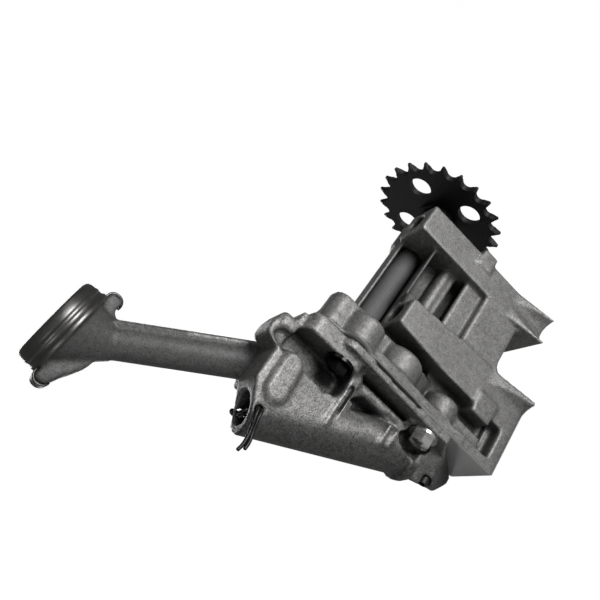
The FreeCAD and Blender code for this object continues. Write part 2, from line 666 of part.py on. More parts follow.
def valve_forms():
    """The relief valve's round housing with its end collar, ribs, ledge and side boss."""
    near = COVER_NEAR_X
    collar = Part.makeCylinder(COLLAR_R, COLLAR_L, on_valve(VALVE_LENGTH - COLLAR_L), VALVE_DIR)
    shapes = [
        Part.makeCylinder(VALVE_R, VALVE_LENGTH, VALVE_END, VALVE_DIR),
        collar.common(box(VALVE_X - VALVE_R, near, -90.0, -34.0, 0.0, 60.0)),
        prism("YZ", LEDGE, -8.0, LEDGE_X),
    ]
    for x, y0, y1, z0, z1 in COVER_RIBS:
        shapes.append(box(-4.0, x, y0, y1, z0, z1))
    pill = strap("YZ", (-51.5, 92.3), 4.3, (-63.0, 91.4), 4.6, near - 1, near + 2.0)
    shapes.append(pill.makeFillet(1.2, [e for e in pill.Edges if abs(e.CenterOfMass.x - near - 2.0) < 1e-3]))
    return shapes


def oil_ways():
    """The drillings and bores for the oil, the shaft and the valve."""
    joint = JOINT_Y
    start, along, length, up = tube_frame()
    pin_at, spill = pin_place(), on_valve(SPILL_FROM_END)
    sense = on_valve(VALVE_BORE_L - 0.6)
    port = V(PORT_FAR_X, joint - PORT_R - 3, MESH_Z)
    tube_in = start + along * 5.0
    return [
        Part.makeCylinder(VALVE_BORE_R, VALVE_BORE_L + 1, VALVE_END - VALVE_DIR, VALVE_DIR),
        rod("YZ", pin_at.y, pin_at.z, 2 * PIN_WIRE_R + PIN_HOLE_CLEAR, VALVE_X - VALVE_R - 2,
            COVER_NEAR_X + 2),
        rod("YZ", spill.y, spill.z, SPILL_R, VALVE_X - VALVE_R - 20, VALVE_X),
        rod("XZ", VALVE_X, sense.z, SENSE_R, joint + 1, sense.y),
        rod("XZ", PORT_FAR_X, MESH_Z, PORT_R, joint + 1, port.y),
        Part.makeSphere(PORT_R, port),
        Part.makeCylinder(TUBE_BORE_R, (tube_in - port).Length, port, tube_in - port),
        Part.makeCylinder(TUBE_BORE_R, length + 2, start + along * 4.0, along),
        rod("XY", STRAINER_X, STRAINER_Y, STRAINER_R - 5.0, STRAINER_Z - 1.5, STRAINER_Z + 1),
        rod("XZ", SHAFT_X, SHAFT_Z, SHAFT_R + RUN_CLEAR, COVER_BEARING_END - 1, joint + 1),
        rod("XZ", SHAFT_X, IDLER_Z, IDLER_PIN_R, COVER_BEARING_END, joint + 1),
        rod("XZ", ROLL_PIN_X, ROLL_PIN_Z, ROLL_PIN_R, ROLL_PIN_SEAT_Y - 1,
            ROLL_PIN_SEAT_Y + ROLL_PIN_DEPTH + 0.5),
    ]


def pump_cover():
    """The cast cover with the relief valve's bore and the suction tube."""
    joint = JOINT_Y
    blocks = minus(union(cover_blocks()), cover_pockets())
    edge = SCREW_NEAR_LOW[0] + BOSS_R + 1
    seat = {p: joint - t for p, t in zip(SCREWS, SEAT_DEPTHS)}
    pocket_end = SCREW_POCKET[4][0]
    cuts = [
        prism("YZ", CHANNEL, CHANNEL_X, COVER_NEAR_X + 6.0),
        prism("YZ", SCREW_POCKET, SCREW_POCKET_X, COVER_NEAR_X + 6.0),
        prism("XZ", [(-15.6, -0.1), (2.7, 19.4), (edge, 25.0), (20.0, 25.0), (20.0, -5.0), (-15.6, -5.0)],
              joint + 1, -60.0),
        rod("XZ", SCREW_NEAR_TOP[0], SCREW_NEAR_TOP[1], BOSS_R - 0.4, seat[SCREW_NEAR_TOP], -49.0),
        rod("XZ", SCREW_NEAR_LOW[0], SCREW_NEAR_LOW[1], BOSS_R - 0.4, seat[SCREW_NEAR_LOW], pocket_end),
    ]
    reach = VALVE_R + 0.6
    ends = [on_valve(d) + VALVE_UP * s for d, s in
            ((-1, reach), (FAR_FLAT_L, reach), (FAR_FLAT_L, -reach), (-1, -reach))]
    cuts.append(box(ROLL_PIN_X - ROLL_PIN_SEAT_R, LOWER_NEAR_X + 1, -60.0, ROLL_PIN_SEAT_Y,
                    ROLL_PIN_Z - ROLL_PIN_SEAT_R, ROLL_PIN_Z + ROLL_PIN_SEAT_R))
    cuts.append(prism("YZ", [(e.y, e.z) for e in ends], FAR_FLAT_X - 20.0, FAR_FLAT_X))
    cuts += oil_ways()
    for x, z in SCREWS:
        cuts.append(rod("XZ", x, z, SCREW_R + SCREW_CLEAR, joint + 1, seat[(x, z)]))
    for x, z in SCREWS[2:]:
        cuts.append(rod("XZ", x, z, BOSS_R, seat[(x, z)], -70.0))
    for x, z in DOWELS:
        cuts.append(rod("XZ", x, z, DOWEL_R, joint - DOWEL_L / 2, joint + 1))
    return minus(union([blocks] + valve_forms()), cuts)


def cycloid(radius, roll, t, outside):
    """A point of the curve that a rolling circle draws outside or inside the pitch circle."""
    if outside:
        x = (radius + roll) * math.cos(t) - roll * math.cos((radius + roll) / roll * t)
        y = (radius + roll) * math.sin(t) - roll * math.sin((radius + roll) / roll * t)
    else:
        x = (radius - roll) * math.cos(t) + roll * math.cos((radius - roll) / roll * t)
        y = -((radius - roll) * math.sin(t) - roll * math.sin((radius - roll) / roll * t))
    return math.hypot(x, y), math.atan2(y, x)


def flank(target, outside):
    """Radius and turn of the flank at a target radius, by halving the rolling angle."""
    low, high = 0.0, 0.9
    for _ in range(50):
        mid = (low + high) / 2
        r, a = cycloid(PITCH_R, PITCH_R * ROLL_SHARE, mid, outside)
        short = r < target if outside else r > target
        if short:
            low = mid
        else:
            high = mid
    return r, a


def spur_gear(bore_r, z_axis, turn):
    """A pump gear with cycloidal flanks; turn is the first tooth's angle from +Z."""
    step = 2 * math.pi / TEETH
    half = step / 4 - TOOTH_BACKLASH / 2 / PITCH_R
    levels = [flank(PITCH_R - DEDENDUM * s, False) for s in (1.0, 0.66, 0.33)]
    levels.append((PITCH_R, 0.0))
    levels += [flank(PITCH_R + ADDENDUM * s, True) for s in (0.33, 0.66, 1.0)]
    y0 = JOINT_Y + GEAR_SIDE_CLEAR

    def point(r, a):
        return V(SHAFT_X + r * math.sin(a), y0, z_axis + r * math.cos(a))

    edges = []
    for k in range(TEETH):
        mid = turn + k * step
        rise = [point(r, mid - half + a) for r, a in levels]
        fall = [point(r, mid + half - a) for r, a in reversed(levels)]
        following = point(levels[0][0], mid + step - half + levels[0][1])
        curve = Part.BSplineCurve()
        curve.interpolate(rise)
        edges.append(curve.toShape())
        edges.append(Part.Arc(rise[-1], point(levels[-1][0], mid), fall[0]).toShape())
        curve = Part.BSplineCurve()
        curve.interpolate(fall)
        edges.append(curve.toShape())
        edges.append(Part.Arc(fall[-1], point(levels[0][0], mid + step / 2), following).toShape())
    solid = Part.Face(Part.Wire(edges)).extrude(V(0, GEAR_L, 0))
    return solid.cut(rod("XZ", SHAFT_X, z_axis, bore_r, y0 - 1, y0 + GEAR_L + 1))


def drive_sprocket():
    """The stamped chain sprocket: roller seats, pointed teeth and four round windows."""
    pitch_r = CHAIN_PITCH / 2 / math.sin(math.pi / SPROCKET_TEETH)
    step = 2 * math.pi / SPROCKET_TEETH
    seat_r = ROLLER_R + 0.1
    y0 = SPROCKET_Y - SPROCKET_T / 2

    def point(r, a):
        return V(SHAFT_X + r * math.sin(a), y0, SHAFT_Z + r * math.cos(a))

    def seat(gap, lean):
        centre = point(pitch_r, gap)
        inward = gap + math.pi
        a = inward + lean
        return centre + V(seat_r * math.sin(a), 0, seat_r * math.cos(a))

    opening = math.radians(68)
    tip_half = TOOTH_TIP_W / 2 / SPROCKET_TIP_R
    edges = []
    for k in range(SPROCKET_TEETH):
        tooth = math.radians(SPROCKET_TURN) + k * step
        gap = tooth + step / 2
        nxt = tooth + step
        tip_a, tip_b = point(SPROCKET_TIP_R, tooth - tip_half), point(SPROCKET_TIP_R, tooth + tip_half)
        seat_in = seat(gap, opening)
        seat_out = seat(gap, -opening)
        edges.append(Part.Arc(tip_a, point(SPROCKET_TIP_R, tooth), tip_b).toShape())
        edges.append(Part.makeLine(tip_b, seat_in))
        edges.append(Part.Arc(seat_in, seat(gap, 0), seat_out).toShape())
        edges.append(Part.makeLine(seat_out, point(SPROCKET_TIP_R, nxt - tip_half)))
    plate = Part.Face(Part.Wire(edges)).extrude(V(0, SPROCKET_T, 0))
    cuts = [rod("XZ", SHAFT_X, SHAFT_Z, HUB_R, y0 - 1, y0 + SPROCKET_T + 1)]
    for k in range(4):
        a = math.radians(LIGHT_HOLE_TURN + 90 * k)
        centre = point(LIGHT_HOLE_PCR, a)
        cuts.append(rod("XZ", centre.x, centre.z, LIGHT_HOLE_R, y0 - 1, y0 + SPROCKET_T + 1))
    return minus(plate, cuts)


def sprocket_hub():
    """The turned hub that the sprocket is pressed on, with the shaft's end through it."""
    y0 = SPROCKET_Y - SPROCKET_T / 2
    hub = rod("XZ", SHAFT_X, SHAFT_Z, HUB_R, FRONT_LEG_FRONT + 1.0, y0 + SPROCKET_T)
    flange = rod("XZ", SHAFT_X, SHAFT_Z, HUB_FLANGE_R, y0 - HUB_FLANGE_T, y0)
    bore = rod("XZ", SHAFT_X, SHAFT_Z, SHAFT_R, 0, SPROCKET_Y + 20)
    return hub.fuse(flange).removeSplitter().cut(bore)


def drive_shaft():
    """The steel drive shaft with a small chamfer at each end."""
    y0 = COVER_BEARING_END - 0.5
    y1 = SPROCKET_Y + SPROCKET_T / 2 + 1.2
    solid = rod("XZ", SHAFT_X, SHAFT_Z, SHAFT_R, y0, y1)
    rims = [e for e in solid.Edges if abs(e.Length - 2 * math.pi * SHAFT_R) < 0.01]
    return solid.makeChamfer(0.6, rims)


def bush(z_axis, r_in, r_out, y0, y1):
    ring = rod("XZ", SHAFT_X, z_axis, r_out, y0, y1)
    return ring.cut(rod("XZ", SHAFT_X, z_axis, r_in, y0 - 1, y1 + 1))


def idler_pin():
    """The fixed pin that the driven gear turns on, seated in body and cover."""
    return rod("XZ", SHAFT_X, IDLER_Z, IDLER_PIN_R, COVER_BEARING_END + 0.3, POCKET_BACK_Y + IDLER_SEAT - 0.3)


def relief_piston():
    """The relief valve's hollow piston, closed towards the oil side."""
    r = VALVE_BORE_R - RUN_CLEAR
    base = on_valve(VALVE_BORE_L - PISTON_L - 1.0)
    solid = Part.makeCylinder(r, PISTON_L, base, VALVE_DIR)
    hollow = Part.makeCylinder(r - 1.3, PISTON_L - 3.0, base, VALVE_DIR)
    return solid.cut(hollow)


def relief_spring():
    """The relief spring between the piston's floor and the seat cup."""
    z0 = PIN_FROM_END + PIN_WIRE_R * 2 + SEAT_CUP_T + 0.5
    z1 = VALVE_BORE_L - 1.0 - 3.0
    length = z1 - z0 - 2 * SPRING_WIRE_R - 0.4
    pitch = length / SPRING_TURNS
    helix = Part.makeHelix(pitch, length, SPRING_R)
    start = V(SPRING_R, 0, 0)
    profile = Part.Wire(Part.Circle(start, V(0, 1, 0), SPRING_WIRE_R).toShape())
    wire = Part.Wire(helix).makePipeShell([profile], True, True)
    place = FreeCAD.Placement(on_valve(z0 + SPRING_WIRE_R + 0.2), FreeCAD.Rotation(V(0, 0, 1), VALVE_DIR))
    wire.Placement = place
    return wire


def spring_seat():
    """The pressed cup that the split pin holds in the valve's open end."""
    depth = PIN_FROM_END + PIN_WIRE_R * 2 + 0.1
    r = VALVE_BORE_R - 0.1
    disc = Part.makeCylinder(r, SEAT_CUP_T, on_valve(depth), VALVE_DIR)
    wall = Part.makeCylinder(r, SEAT_CUP_H, on_valve(depth), VALVE_DIR)
    hollow = Part.makeCylinder(r - SEAT_CUP_T, SEAT_CUP_H + 1, on_valve(depth), VALVE_DIR)
    return disc.fuse(wall.cut(hollow)).removeSplitter()


def wire_run(points, r):
    """A round wire through straight runs with a ball at each bend."""
    shapes = []
    for a, b in zip(points, points[1:]):
        shapes.append(Part.makeCylinder(r, (b - a).Length, a, b - a))
    for p in points[1:-1]:
        shapes.append(Part.makeSphere(r, p))
    return union(shapes)


def split_pin():
    """The split pin across the valve's end: a ring head and two bent legs."""
    p = pin_place()
    r = PIN_WIRE_R
    out = COVER_NEAR_X + r + 0.5
    start = FAR_FLAT_X - 1.5
    shapes = []
    for k in (-1, 1):
        a = V(start, p.y, p.z + k * r * 0.99)
        b = V(out, p.y, p.z + k * r * 0.99)
        c = V(out + 0.4, p.y - 16.5 - 1.0 * k, p.z - 2.2 + 0.9 * k)
        shapes.append(wire_run([a, b, c], r))
    shapes.append(Part.makeTorus(PIN_RING_R, r, V(start - PIN_RING_R + r, p.y, p.z), V(0, 1, 0)))
    return union(shapes)


def hex_bolt(x, z):
    """A flanged hexagon screw along +Y, its head behind the cover's seat."""
    seat = JOINT_Y - SEAT_DEPTHS[SCREWS.index((x, z))]
    shank = rod("XZ", x, z, SCREW_R, seat - 0.5, JOINT_Y + SCREW_GRIP)
    flange = rod("XZ", x, z, HEAD_FLANGE_R, seat - HEAD_FLANGE_T, seat)
    corner = HEX_AF / math.sqrt(3)
    turns = [math.radians(60 * k + HEX_TURN) for k in range(6)]
    points = [(x + corner * math.cos(a), z + corner * math.sin(a)) for a in turns]
    head = prism("XZ", points, seat - HEAD_FLANGE_T - HEX_H, seat)
    ball = corner * 1.9
    dome = Part.makeSphere(ball, V(x, seat - HEAD_FLANGE_T - HEX_H + ball - 0.2, z))
    return union([shank, flange, head.common(dome)])


def group(shapes):
    return Part.makeCompound(list(shapes))


def strainer_cup():
    """The pressed steel strainer cup: a rolled rim, a wide mouth and a tab over each ear."""
    r, t, h = STRAINER_R, CUP_T, CUP_H
    x, y, z = STRAINER_X, STRAINER_Y, STRAINER_Z
    g = SEAT_GAP
    low = g - FLANGE_T
    rim, bead = r + RIM_BEAD, r + CRIMP_BEAD
    section = [
        (r - t + g, low), (rim - 0.5, low), (rim, low + 0.6, 0.4), (rim, low + 1.6, 0.5), (r, low + 2.3, 0.4),
        (r, low + 3.6, 0.4), (bead, low + 4.1, 0.3), (bead, low + 4.9, 0.3), (r, low + 5.4, 0.4),
        (r, h - 1.0, 2.2), (CUP_MOUTH_R, h, 0.8), (CUP_MOUTH_R, h - t),
        (r - t - 1.8, h - t - 0.4, 1.2), (r - t + g, 0.4),
    ]
    face = outline("XZ", [(x + p[0],) + (z + p[1],) + tuple(p[2:]) for p in section], y)
    shapes = [face.revolve(V(x, y, z), V(0, 0, 1), 360)]
    inside = rod("XY", x, y, r - t + g, z - FLANGE_T - 1, z + h)
    half = TAB_W / 2
    for side in (-1, 1):
        inner, face_y, outer = [y + side * d for d in (r - 2 * t, EAR_REACH + g, EAR_REACH + g + TAB_T)]
        top = box(x - half, x + half, min(inner, outer), max(inner, outer), z + low, z + low + TAB_T)
        down = box(x - half, x + half, min(face_y, outer), max(face_y, outer), z - EAR_H, z + low + TAB_T)
        shapes.append(top.fuse(down).cut(inside))
    return union(shapes)


def strainer_mesh():
    """The gauze disc that lies inside the cup's mouth."""
    top = STRAINER_Z + CUP_H - CUP_T - 0.9
    return rod("XY", STRAINER_X, STRAINER_Y, MESH_R, top - MESH_T, top)


def roll_pin():
    """The slotted spring pin that is pressed in the cover's lower end."""
    y0, y1 = ROLL_PIN_SEAT_Y - ROLL_PIN_OUT, ROLL_PIN_SEAT_Y + ROLL_PIN_DEPTH
    x, z, r = ROLL_PIN_X, ROLL_PIN_Z, ROLL_PIN_R
    ring = rod("XZ", x, z, r, y0, y1)
    half = ROLL_PIN_SLOT / 2
    slot = box(x - half, x + half, y0 - 1, y1 + 1, z, z + r + 1)
    return minus(ring, [rod("XZ", x, z, r - ROLL_PIN_WALL, y0 - 1, y1 + 1), slot])


def build():
    """Every node's solid by name."""
    pin_y1 = JOINT_Y + GEAR_SIDE_CLEAR
    step = math.pi / TEETH
    dowel_half = DOWEL_L / 2 - 0.3
    return {
        "pump_body": pump_body(),
        "pump_cover": pump_cover(),
        "drive_shaft": drive_shaft(),
        "sprocket_hub": sprocket_hub(),
        "drive_sprocket": drive_sprocket(),
        "drive_gear": spur_gear(SHAFT_R, SHAFT_Z, math.pi),
        "driven_gear": spur_gear(IDLER_BUSH_OUT_R, IDLER_Z, step),
        "driven_gear_bush": bush(IDLER_Z, IDLER_PIN_R + RUN_CLEAR, IDLER_BUSH_OUT_R, pin_y1, pin_y1 + GEAR_L),
        "idler_pin": idler_pin(),
        "front_shaft_bush": bush(SHAFT_Z, SHAFT_R + RUN_CLEAR, BUSH_OUT_R, FRONT_LEG_BACK, FRONT_LEG_FRONT),
        "rear_shaft_bush": bush(SHAFT_Z, SHAFT_R + RUN_CLEAR, BUSH_OUT_R, POCKET_BACK_Y + 0.1, REAR_BUSH_END),
        "cover_screws": group(hex_bolt(x, z) for x, z in SCREWS),
        "cover_dowels": group(rod("XZ", x, z, DOWEL_R, JOINT_Y - dowel_half, JOINT_Y + dowel_half)
                              for x, z in DOWELS),
        "relief_piston": relief_piston(),
        "relief_spring": relief_spring(),
        "spring_seat": spring_seat(),
        "split_pin": split_pin(),
        "strainer_cup": strainer_cup(),
        "strainer_mesh": strainer_mesh(),
        "roll_pin": roll_pin(),
    }


os.makedirs("parts", exist_ok=True)
for name, shape in build().items():
    shape.exportStep("parts/" + name + ".step")
    print(name, len(shape.Solids), shape.isValid(), round(shape.Volume, 1))
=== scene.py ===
"""Engine oil pump: looks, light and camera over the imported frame."""
import math

import bmesh
import bpy
import numpy as np
from mathutils import Matrix, Vector


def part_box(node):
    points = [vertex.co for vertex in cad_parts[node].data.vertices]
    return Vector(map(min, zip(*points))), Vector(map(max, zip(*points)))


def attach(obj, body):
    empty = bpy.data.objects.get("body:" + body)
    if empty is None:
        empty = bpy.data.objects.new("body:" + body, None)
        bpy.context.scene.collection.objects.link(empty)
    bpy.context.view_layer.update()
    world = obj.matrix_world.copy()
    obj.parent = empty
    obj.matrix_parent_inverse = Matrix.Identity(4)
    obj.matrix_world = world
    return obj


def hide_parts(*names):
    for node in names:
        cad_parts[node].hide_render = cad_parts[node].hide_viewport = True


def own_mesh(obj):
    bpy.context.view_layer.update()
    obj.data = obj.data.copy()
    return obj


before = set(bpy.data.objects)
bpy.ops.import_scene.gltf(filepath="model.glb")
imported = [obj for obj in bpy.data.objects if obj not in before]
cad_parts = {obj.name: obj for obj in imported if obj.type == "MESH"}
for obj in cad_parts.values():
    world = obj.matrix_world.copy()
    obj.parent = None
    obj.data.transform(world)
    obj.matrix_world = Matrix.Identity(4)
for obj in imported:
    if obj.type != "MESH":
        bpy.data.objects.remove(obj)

scene = bpy.context.scene
scene.view_settings.view_transform = "Standard"
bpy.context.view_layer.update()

# Camera
# The photograph looks at the open side of the columns from the cover's end,
# with the bolt columns turned 45 degrees in the picture.
# It is a 43 mm lens on a 36 mm sensor, 0.29 m from the pump and a little above it.
eye = Vector((0.2334, -0.1576, 0.1579))
right = Vector((0.46687, 0.53895, -0.70112))
up = Vector((0.22756, 0.69291, 0.68417))
back = Vector((0.85455, -0.47897, 0.20085))
camera_data = bpy.data.cameras.new("photo_camera")
camera_data.lens = 43.2
camera_data.sensor_width = 36.0
camera_data.clip_start = 0.01
camera = bpy.data.objects.new("photo_camera", camera_data)
turn = Matrix((right, up, back)).transposed().to_4x4()
camera.matrix_world = Matrix.Translation(eye) @ turn
scene.collection.objects.link(camera)
scene.camera = camera


# Studio
# A white sweep lies below the pump, as in a catalogue picture.
# A large soft box lights the side with the columns, another one the side that is turned away.
# Two weak ones, above and beside the camera, open the shadows a little.
def add(tree, kind, sockets=None, **settings):
    """A node of that kind: first its settings, then each socket, by name or by number, takes
    its value, or a link where the value is another node's output."""
    node = tree.nodes.new(kind)
    for name, value in settings.items():
        setattr(node, name, value)
    for key, value in (sockets or {}).items():
        if isinstance(value, bpy.types.NodeSocket):
            tree.links.new(value, node.inputs[key])
        else:
            node.inputs[key].default_value = value
    return node


def maths(tree, operation, *terms):
    """The output of one math node over its terms, each a number or an output."""
    node = add(tree, "ShaderNodeMath", dict(enumerate(terms)), operation=operation)
    return node.outputs[0]


def node_tree(material):
    """The cleared node tree of a material, and its shader, linked to the surface."""
    material.use_nodes = True
    tree = material.node_tree
    tree.nodes.clear()
    shader = add(tree, "ShaderNodeBsdfPrincipled")
    add(tree, "ShaderNodeOutputMaterial", {"Surface": shader.outputs["BSDF"]})
    return tree, shader


def seen_by(tree, camera_share, gloss_share):
    """Share of the plain white: one part for the camera's rays, one for glossy and for
    transmitted rays, so that bare metal shows the same white, only weaker."""
    rays = add(tree, "ShaderNodeLightPath")
    gloss = maths(tree, "MAXIMUM", rays.outputs["Is Glossy Ray"],
                  rays.outputs["Is Transmission Ray"])
    weak = maths(tree, "MULTIPLY", gloss, gloss_share)
    return maths(tree, "MULTIPLY_ADD", rays.outputs["Is Camera Ray"], camera_share, weak)


floor_material = bpy.data.materials.new("white_sweep")
floor_tree, floor_shader = node_tree(floor_material)
floor_shader.inputs["Base Color"].default_value = (0.55, 0.55, 0.55, 1)
floor_shader.inputs["Roughness"].default_value = 0.9
floor_surface = floor_shader.outputs["BSDF"].links[0].to_socket
white = add(floor_tree, "ShaderNodeEmission", {"Color": (1, 1, 1, 1), "Strength": 1.10})
floor_mix = add(floor_tree, "ShaderNodeMixShader", {
    0: seen_by(floor_tree, camera_share=0.90, gloss_share=0.06),
    1: floor_shader.outputs["BSDF"],
    2: white.outputs["Emission"],
})
floor_tree.links.new(floor_mix.outputs[0], floor_surface)

floor_half, floor_cells, floor_z = 2.0, 8, -0.0012
side = np.linspace(-floor_half, floor_half, floor_cells + 1)
grid_x, grid_y = np.meshgrid(side, side, indexing="ij")
floor_points = np.stack([grid_x.ravel(), grid_y.ravel(), np.full(grid_x.size, floor_z)], 1)
across = floor_cells + 1
corner = np.arange(floor_cells)[:, None] * across + np.arange(floor_cells)[None, :]
floor_faces = np.stack([corner, corner + across, corner + across + 1, corner + 1], -1)
floor_mesh = bpy.data.meshes.new("floor")
floor_mesh.from_pydata(floor_points.tolist(), [], floor_faces.reshape(-1, 4).tolist())
floor_mesh.materials.append(floor_material)
floor = bpy.data.objects.new("floor", floor_mesh)
scene.collection.objects.link(floor)

world = bpy.data.worlds.new("studio")
scene.world = world
world.use_nodes = True
sky = world.node_tree
sky.nodes.clear()
seen = add(sky, "ShaderNodeBackground", {"Color": (1, 1, 1, 1), "Strength": 1.0})
fill = add(sky, "ShaderNodeBackground", {"Color": (1, 1, 1, 1), "Strength": 0.072})
sky_mix = add(sky, "ShaderNodeMixShader", {
    0: seen_by(sky, camera_share=1.0, gloss_share=0.03),
    1: fill.outputs[0],
    2: seen.outputs[0],
})
add(sky, "ShaderNodeOutputWorld", {"Surface": sky_mix.outputs[0]})

middle = Vector((-0.010, -0.030, 0.075))
for name, place, size, power in (
    ("key_box", middle + Vector((1.04, 0.36, 0.10)), 0.50, 10.5),
    ("top_box", middle + back * 0.25 + up * 0.58 - right * 0.10, 0.30, 0.24),
    ("side_box", middle + Vector((0.33, -0.53, 0.0)), 0.22, 0.32),
    ("rear_box", middle + Vector((-0.90, 0.16, 0.04)), 0.50, 5.1),
):
    lamp_data = bpy.data.lights.new(name, "AREA")
    lamp_data.shape = "SQUARE"
    lamp_data.size = size
    lamp_data.energy = power
    lamp = bpy.data.objects.new(name, lamp_data)
    aim = (place - middle).to_track_quat("Z", "Y")
    lamp.matrix_world = Matrix.Translation(place) @ aim.to_matrix().to_4x4()
    scene.collection.objects.link(lamp)


# Pump body
# The die-cast aluminium body: two bolt columns on feet, the shaft trough and the gear case.
# It is shot-blasted after casting, so its edges are round and its skin is finely pitted.
# The foot face and the joint to the cover are machined bright afterwards.
def cast_skin():
    """Node group: blasted skin. Height is fine noise + 0.45 coarse noise, Tint is
    1 + 3 Contrast (Height - 0.725), where 0.725 is Height's mean, and Patch is a wide noise."""
    group = bpy.data.node_groups.new("cast_skin", "ShaderNodeTree")
    group.interface.new_socket("Vector", in_out="INPUT", socket_type="NodeSocketVector")
    for name, value in (("Grain", 1500.0), ("Blotch", 90.0), ("Contrast", 0.55)):
        item = group.interface.new_socket(name, in_out="INPUT", socket_type="NodeSocketFloat")
        item.default_value = value
    for name in ("Tint", "Height", "Patch"):
        group.interface.new_socket(name, in_out="OUTPUT", socket_type="NodeSocketFloat")
    inside = add(group, "NodeGroupInput").outputs
    place = inside["Vector"]
    coarse_share, mean, tint_gain = 0.45, 0.725, 3.0
    coarse_grain = maths(group, "MULTIPLY", inside["Grain"], 0.32)
    fine = add(group, "ShaderNodeTexNoise", {
        "Vector": place, "Scale": inside["Grain"], "Detail": 3.0, "Roughness": 0.6})
    coarse = add(group, "ShaderNodeTexNoise", {
        "Vector": place, "Scale": coarse_grain, "Detail": 2.0})
    patch = add(group, "ShaderNodeTexNoise", {
        "Vector": place, "Scale": inside["Blotch"], "Detail": 3.0})
    height = maths(group, "MULTIPLY_ADD", coarse.outputs["Fac"], coarse_share,
                   fine.outputs["Fac"])
    centred = maths(group, "SUBTRACT", height, mean)
    strong = maths(group, "MULTIPLY", centred, inside["Contrast"])
    tint = maths(group, "MULTIPLY_ADD", strong, tint_gain, 1.0)
    add(group, "NodeGroupOutput", {
        "Tint": tint, "Height": height, "Patch": patch.outputs["Fac"]})
    return group


skin_group = cast_skin()


def ramp(tree, value, start=0.0, end=1.0, low=0.0, high=1.0, **settings):
    """The value mapped from start..end to low..high, held at the ends."""
    node = add(tree, "ShaderNodeMapRange", {0: value, 1: start, 2: end, 3: low, 4: high},
               **settings)
    return node.outputs[0]


def blend(tree, share, first, second):
    """The colour first where the share is 0 and the colour second where it is 1."""
    return add(tree, "ShaderNodeMix", {0: share, 6: first, 7: second},
               data_type="RGBA").outputs[2]


def vector_maths(tree, operation, sockets, output=0):
    """One output of a vector math node over its sockets."""
    return add(tree, "ShaderNodeVectorMath", sockets, operation=operation).outputs[output]


def painted_side_shade(tree, place, direction, low, high, share):
    """Painted shade on one side: 1 at the distance high along the direction, falling to the share
    at the distance low, with a smooth step between them."""
    height = vector_maths(tree, "DOT_PRODUCT", {0: place, 1: direction}, "Value")
    return ramp(tree, height, low, high, share, 1.0, interpolation_type="SMOOTHSTEP")


def oil_zone(tree, place, point, direction, reach, length):
    """Mask: 1 within reach of the line through the point along the direction, and
    everywhere further along it than the length; the borders are narrow ramps."""
    side_border, end_border = 0.0008, 0.003
    from_point = vector_maths(tree, "SUBTRACT", {0: place, 1: point})
    along = vector_maths(tree, "DOT_PRODUCT", {0: from_point, 1: direction}, "Value")
    aside = vector_maths(tree, "CROSS_PRODUCT", {0: from_point, 1: direction})
    away = vector_maths(tree, "LENGTH", {0: aside}, "Value")
    near_line = ramp(tree, away, reach, reach + side_border, low=1.0, high=0.0)
    beyond = ramp(tree, along, length, length + end_border)
    return maths(tree, "MAXIMUM", near_line, beyond)


